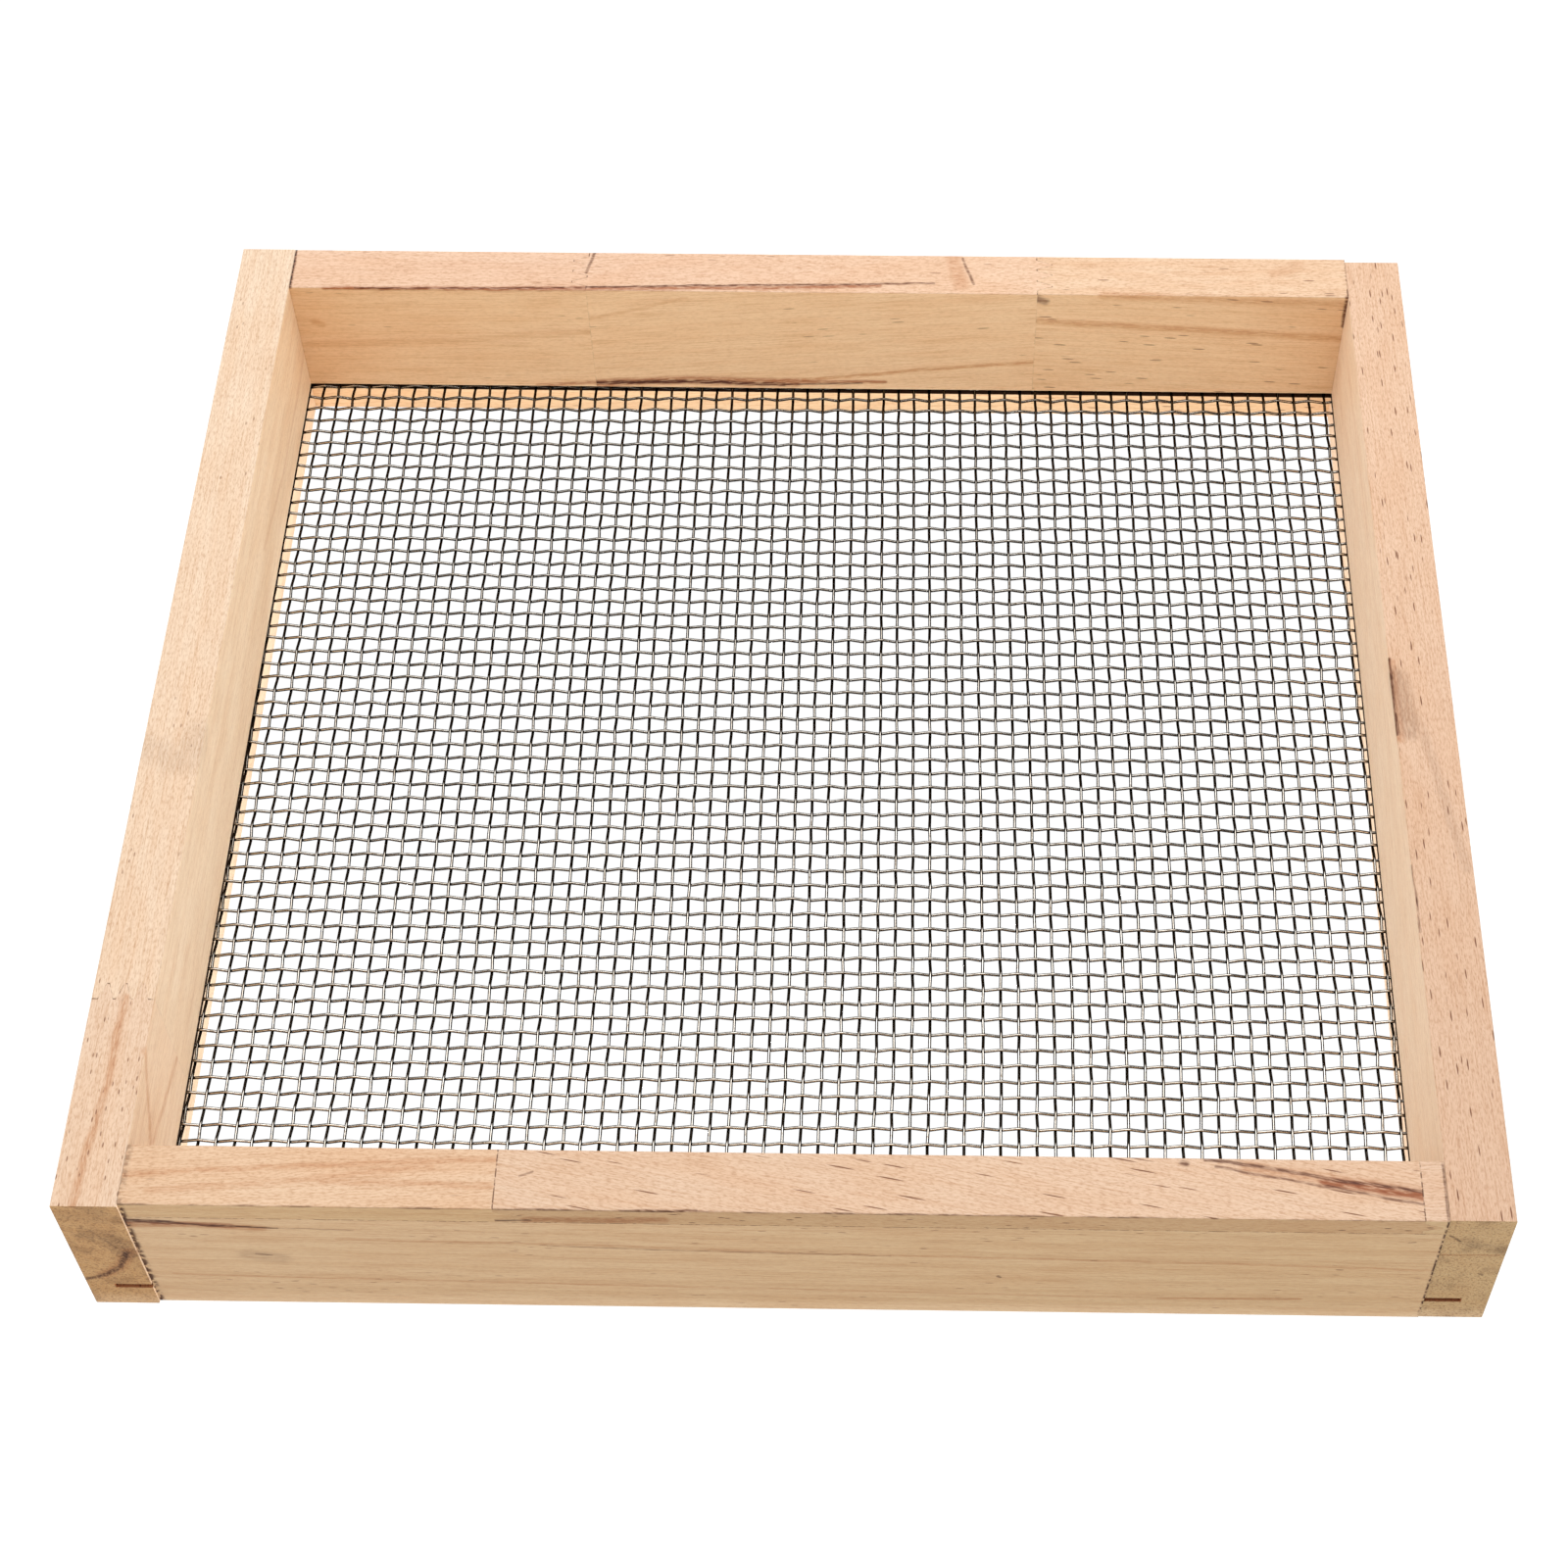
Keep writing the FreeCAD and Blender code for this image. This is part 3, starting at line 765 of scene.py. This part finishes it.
def marks_by_stave():
    """Knots, resin streaks, smudges and torn edges, as pairs of coordinates on a named face."""
    return {
        "left_rail_rear_stave": (
            Mark("grey", 7.0, 0.35, on_top((-172.4, -23), (-175, -33), (-187, -28))),
            Mark("brown", 1.4, 0.35, on_left_inner((154, 25.6), (105, 25), (68, 31))),
        ),
        "left_rail_front_stave": (
            Mark("brown", 1.8, 0.75, on_top((-179.4, -111), (-179.6, -138), (-181.6, -157), (-182.4, -173))),
            Mark("brown", 2.0, 0.6, on_left_inner((-127, 57), (-133, 50), (-143.5, 36.7), (-152, 28))),
            Mark("brown", 1.8, 0.6, on_left_inner((-106, 25), (-119, 28.3), (-142, 34.3))),
            Mark("dark", 1.3, 0.8, on_left_end((-188, 14.5), (-182.7, 17.0), (-177.4, 22.3), (-174.3, 30.5))),
            Mark("brown", 3.0, 0.8, on_left_end((-183, 17.0), (-177.4, 22.3), (-173.4, 31.5))),
            Mark("grey", 5.5, 0.9, on_left_end((-174.0, 30), (-175.5, 37))),
            Mark("dark", 0.5, 0.35, on_left_end((-176, 33), (-181, 44))),
            Mark("dark", 0.5, 0.35, on_left_end((-178, 32), (-184, 42))),
            Mark("grey", 4.5, 0.35, on_left_end((-186, 52), (-176, 50))),
        ),
        "right_rail": (
            Mark("grey", 5.0, 0.7, on_top((173, 3), (175.3, -17))),
            Mark("brown", 2.2, 0.7, on_top((171.6, 8), (172.0, -20))),
            Mark("dark", 1.0, 1.0, on_top((171.2, 9), (171.2, -18))),
            Mark("dark", 0.5, 0.7, on_top((171.4, -63), (171.8, -85))),
            Mark("grey", 2.4, 0.35, on_top((174, -6), (179, -18), (186.6, -64))),
            Mark("brown", 1.0, 0.3, on_right_inner((147, 43.5), (27, 48))),
            Mark("brown", 0.8, 0.7, on_right_end((171.5, 37.5), (187, 37.8))),
            Mark("dark", 0.6, 0.7, on_right_end((172.5, 48.6), (175.5, 45.5))),
            Mark("dark", 0.9, 0.6, on_right_end((183.6, 26.7), (184.2, 26.2))),
            Mark("grey", 3.5, 0.5, on_right_end((177, 46), (187, 40))),
        ),
        "front_rail_lower_stave": (
            Mark("dark", 1.4, 1.0, on_front((-171.2, 48.4), (-159, 47.5))),
            Mark("red", 2.0, 0.9, on_front((-171.2, 47.6), (-158, 47.0), (-144, 45.8))),
            Mark("dark", 0.8, 0.9, on_front((-160, 47.4), (-149.6, 45.8), (-132, 44.8))),
            Mark("dark", 0.4, 0.5, on_front((-132, 44.8), (-112, 44.2))),
            Mark("brown", 2.4, 0.9, on_front((-171.2, 45.6), (-155, 46.2), (-136, 44.6))),
            Mark("grey", 4.5, 0.5, on_front((-142, 28.8), (-134, 27.2))),
            Mark("dark", 0.7, 0.5, on_front((-140, 29.5), (-136, 28.8))),
            Mark("dark", 0.9, 0.9, on_front((56.7, 21.9), (57.2, 21.4))),
            Mark("dark", 0.6, 0.8, on_front((162.4, 45.2), (164, 45.2))),
            Mark("brown", 1.0, 0.5, on_front((-117, 38.7), (-54, 37.5), (10, 34), (113, 31.5), (171, 28.7))),
            Mark("dark", 0.5, 0.55, on_front((-62, 36.5), (-30, 34.9), (28, 33.2))),
            Mark("brown", 0.8, 0.45, on_front((-164, 16.9), (-136, 15.9), (100, 9.9))),
            Mark("brown", 1.1, 0.8, on_front((100, 9.9), (138, 10.4))),
        ),
        "front_rail_cap_left": (
            Mark("brown", 1.3, 0.6, on_top((-171, -163.8), (-144.7, -161.8), (-91.6, -158.7), (-75, -158))),
            Mark("brown", 1.5, 0.45, on_top((-164, -168.2), (-126.5, -165), (-91.4, -160.1))),
            Mark("brown", 1.6, 0.5, on_top((-119, -165), (-75.6, -165.8))),
            Mark("dark", 0.5, 0.7, on_top((-171, -172.4), (-75, -172.4))),
        ),
        "front_rail_cap_middle": (
            Mark("brown", 2.6, 1.0, on_front((-66, 51.4), (-52, 51.8), (-40, 51.8), (-31, 52.4))),
            Mark("dark", 0.6, 0.9, on_front((-74.2, 50.9), (-65, 51.2))),
            Mark("dark", 0.5, 0.8, on_front((-73.8, 53.4), (-70, 53.2))),
            Mark("dark", 0.7, 1.0, on_top((-74, -172.4), (-58, -172.4), (-22, -172.3))),
            Mark("dark", 0.5, 0.8, on_top((-22, -172.4), (101, -172.4))),
            Mark("dark", 0.3, 0.5, on_top((101, -172.4), (165, -172.4))),
            Mark("dark", 1.2, 0.9, on_top((103.4, -156.4), (104.4, -156.6))),
            Mark("dark", 0.8, 0.9, on_top((109.4, -155.3), (127, -157.9), (147, -161.5), (164.6, -163.6))),
            Mark("dark", 0.6, 0.8, on_top((112, -157.5), (140, -162.8), (164.6, -167.6))),
            Mark("red", 2.3, 1.0, on_top((140, -161.2), (152, -163), (164.6, -165))),
            Mark("brown", 3.2, 0.6, on_top((120, -157.5), (164.6, -164.5))),
            Mark("dark", 0.5, 0.6, on_top((-68.3, -162.6), (-65.1, -161.5))),
        ),
        "front_rail_cap_right": (
            Mark("dark", 0.5, 0.6, on_top((170.9, -156), (170.9, -172))),
        ),
        "back_rail_left_stave": (
            Mark("red", 1.4, 1.0, on_top((-160, 155.5), (-73, 156.6))),
            Mark("dark", 0.6, 0.9, on_top((-150, 155.8), (-73, 156.8))),
            Mark("brown", 2.0, 0.6, on_back_inner((-165.5, 41.5), (-163, 40.2))),
            Mark("red", 1.4, 0.8, on_back_inner((-95, 11.9), (-75, 13.8))),
            Mark("brown", 2.6, 0.35, on_back_inner((-168, 31), (-120, 33), (-76, 38))),
            Mark("dark", 0.8, 1.0, on_top((-171, 156), (-171, 173))),
        ),
        "back_rail_middle_stave": (
            Mark("red", 1.2, 0.9, on_top((-78, 156.4), (-17.4, 157.6), (20, 159))),
            Mark("dark", 0.7, 1.0, on_top((-78, 157.0), (-17.4, 158.9), (37.5, 160.3))),
            Mark("dark", 0.7, 0.8, on_top((46.8, 171.5), (50.5, 160.0))),
            Mark("brown", 4.0, 0.55, on_top((43.5, 171.5), (46.5, 160.0))),
            Mark("brown", 1.2, 0.4, on_back_inner((-75.4, 43.8), (-42.8, 53.8))),
            Mark("red", 3.0, 0.95, on_back_inner((-80, 13), (-44.9, 15.2), (-8, 14.4))),
            Mark("red", 1.2, 0.9, on_back_inner((-8, 14.8), (22, 15.4))),
            Mark("dark", 1.3, 1.0, on_back_inner((-78, 13.4), (-44, 14.6), (-12, 13.4))),
            Mark("dark", 0.7, 0.9, on_back_inner((-12, 13.4), (14, 14.4))),
            Mark("brown", 1.2, 0.9, on_back_inner((-5.5, 15.7), (33.7, 21.1), (71, 25.4))),
            Mark("dark", 0.8, 0.9, on_top((-73.3, 173), (-75.6, 163.8))),
        ),
        "back_rail_right_stave": (
            Mark("brown", 2.4, 0.6, on_back_inner((92, 57), (171.2, 53.6))),
            Mark("brown", 2.4, 0.75, on_back_inner((72, 45), (116.8, 41.9), (171.2, 38))),
            Mark("dark", 2.2, 0.8, on_back_inner((69.5, 55.6), (73.5, 54.2))),
            Mark("brown", 3.5, 0.35, on_top((148, 166), (156, 170))),
            Mark("dark", 1.1, 1.0, on_back_inner((171.0, 57.1), (171.0, 44))),
        ),
    }


def paint(node, material):
    """Gives a CAD piece its material."""
    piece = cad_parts[node]
    piece.data.materials.clear()
    piece.data.materials.append(material)
    return piece


def wear_edges(piece):
    """Takes the sharpness off the cut edges of a wooden piece."""
    weld = piece.modifiers.new("weld", "WELD")
    weld.merge_threshold = WELD
    worn = piece.modifiers.new("worn_edge", "BEVEL")
    worn.width = WORN_EDGE
    worn.segments = 1
    worn.limit_method = "ANGLE"
    worn.angle_limit = SHARP
    worn.harden_normals = False


def dress_wood():
    """Gives each stave its own pine, and worn edges."""
    marks = marks_by_stave()
    for node, stave in staves().items():
        wear_edges(paint(node, pine(node, stave, marks[node])))


def dress_brads():
    """Gives the brads at the four corners one steel."""
    steel = brad_steel()
    for corner in ("front_left", "front_right", "back_left", "back_right"):
        paint(corner + "_brads", steel)


# ---- stage ----------------------------------------------------------------------------------
def make_floor():
    """Pale paper sweep, overexposed as the camera sees it, with a painted shadow under the screen, and clear
    to a camera below it.
    """
    material, g = new_material("paper_sweep")
    place = g.millimetres()
    weave = g.noise(place, round_size(FLOOR_FIBRE_MM), 3.0)
    shade = g.steps(weave, 0.0, 1.0, *FLOOR_TONE)
    colour = g.node("ShaderNodeCombineColor", {0: shade, 1: shade, 2: shade}).outputs[0]
    paper = g.node("ShaderNodeBsdfDiffuse", {"Color": colour}).outputs[0]
    fill = g.node("ShaderNodeEmission", {"Strength": FLOOR_FILL}).outputs[0]
    lit = g.node("ShaderNodeAddShader", {0: paper, 1: fill}).outputs[0]
    parts = g.node("ShaderNodeSeparateXYZ", {0: place}).outputs
    # the camera sees the sweep dimmer inside the frame, a painted shadow under the screen
    past_side, past_back = (
        g.steps(g.math("ABSOLUTE", parts[axis]), level - FLOOR_SOFT_MM, level + FLOOR_SOFT_MM)
        for axis, level in ((X, SIDE_MM), (Y, BACK_MM)))
    beside = g.math("MAXIMUM", past_side, past_back)
    glow = g.steps(beside, 0.0, 1.0, FLOOR_UNDER_SHADE, FLOOR_GLOW)
    glow = g.node("ShaderNodeEmission", {"Strength": glow}).outputs[0]
    ray = g.node("ShaderNodeLightPath", {}).outputs
    seen, mirrored = ray["Is Camera Ray"], ray["Is Glossy Ray"]
    share = g.math("MULTIPLY", seen, 1 - FLOOR_SHADOW)
    both = g.node("ShaderNodeMixShader", {0: share, 1: lit, 2: glow}).outputs[0]
    dark = g.node("ShaderNodeEmission", {"Strength": FLOOR_MIRROR}).outputs[0]
    both = g.node("ShaderNodeMixShader", {0: mirrored, 1: both, 2: dark}).outputs[0]
    clear = g.node("ShaderNodeBsdfTransparent", {}).outputs[0]
    below = g.math("MULTIPLY", seen, g.node("ShaderNodeNewGeometry", {}).outputs["Backfacing"])
    both = g.node("ShaderNodeMixShader", {0: below, 1: both, 2: clear}).outputs[0]
    g.node("ShaderNodeOutputMaterial", {"Surface": both})
    corners = [(side_x * FLOOR_HALF, side_y * FLOOR_HALF, 0)
               for side_x, side_y in ((-1, -1), (1, -1), (1, 1), (-1, 1))]
    mesh = bpy.data.meshes.new("floor")
    mesh.from_pydata(corners, [], [(0, 1, 2, 3)])
    mesh.materials.append(material)
    floor = bpy.data.objects.new("floor", mesh)
    floor.location.z = cad_bounds[0][Z] - FLOOR_GAP
    bpy.context.scene.collection.objects.link(floor)


def make_sky():
    """Bright soft sky, dimmer towards the horizon and the camera.

    Steel reflects it as a bright ceiling with dark walls round it, as in a photo tent.
    """
    world = bpy.data.worlds.new("studio")
    bpy.context.scene.world = world
    world.use_nodes = True
    g = Graph(world.node_tree)
    direction = g.node("ShaderNodeTexCoord", {}).outputs["Generated"]
    parts = g.node("ShaderNodeSeparateXYZ", {0: direction}).outputs
    soft = g.steps(parts[Z], *SKY_RISE, SKY_EDGE, SKY_TOP)
    soft = g.math("MULTIPLY", soft, g.steps(parts[Y], *SKY_TURN, SKY_FRONT, 1.0))
    mirror = g.steps(g.vector("DOT_PRODUCT", direction, MIRROR_AXIS), *MIRROR_EDGE, MIRROR_DIM, MIRROR_BRIGHT)
    walls = g.steps(parts[Y], *MIRROR_RIM_EDGE, *MIRROR_RIM)
    rim = g.math("MULTIPLY", g.steps(parts[Z], *MIRROR_RIM_TOP), walls)
    mirror = g.math("MAXIMUM", mirror, rim)
    ray = g.node("ShaderNodeLightPath", {}).outputs
    strength = g.steps(ray["Is Glossy Ray"], 0.0, 1.0, soft, mirror)
    strength = g.steps(ray["Is Camera Ray"], 0.0, 1.0, strength, FLOOR_GLOW / SKY_GREY)
    grey = (SKY_GREY, SKY_GREY, SKY_GREY, 1.0)
    sky = g.node("ShaderNodeBackground", {"Color": grey, "Strength": strength})
    g.node("ShaderNodeOutputWorld", {"Surface": sky.outputs["Background"]})


def make_key():
    """One large soft lamp, above and behind the part."""
    lamp = bpy.data.lights.new("key", "AREA")
    lamp.energy = KEY_WATTS
    lamp.size = KEY_SIZE
    key = bpy.data.objects.new("key", lamp)
    key.location = KEY_PLACE
    key.rotation_euler = (-Vector(KEY_PLACE)).to_track_quat("-Z", "Y").to_euler()
    bpy.context.scene.collection.objects.link(key)


def make_camera():
    """The photo's viewing angle, with the part a little off the lens's axis."""
    camera = bpy.data.cameras.new("camera")
    camera.lens = LENS_MM
    camera.sensor_width = SENSOR_MM
    camera.shift_x, camera.shift_y = SHIFT
    seat = bpy.data.objects.new("camera", camera)
    turn = Matrix.Rotation(math.radians(CAMERA_TURN), 4, "Z")
    tilt = Matrix.Rotation(math.radians(CAMERA_TILT), 4, "X")
    roll = Matrix.Rotation(math.radians(CAMERA_ROLL), 4, "Z")
    seat.matrix_world = Matrix.Translation(CAMERA_PLACE) @ turn @ tilt @ roll
    bpy.context.scene.collection.objects.link(seat)
    bpy.context.scene.camera = seat


weave_screen(wire_steel())
dress_wood()
dress_brads()
make_floor()
make_sky()
make_key()
make_camera()
bpy.context.scene.view_settings.view_transform = "Standard"
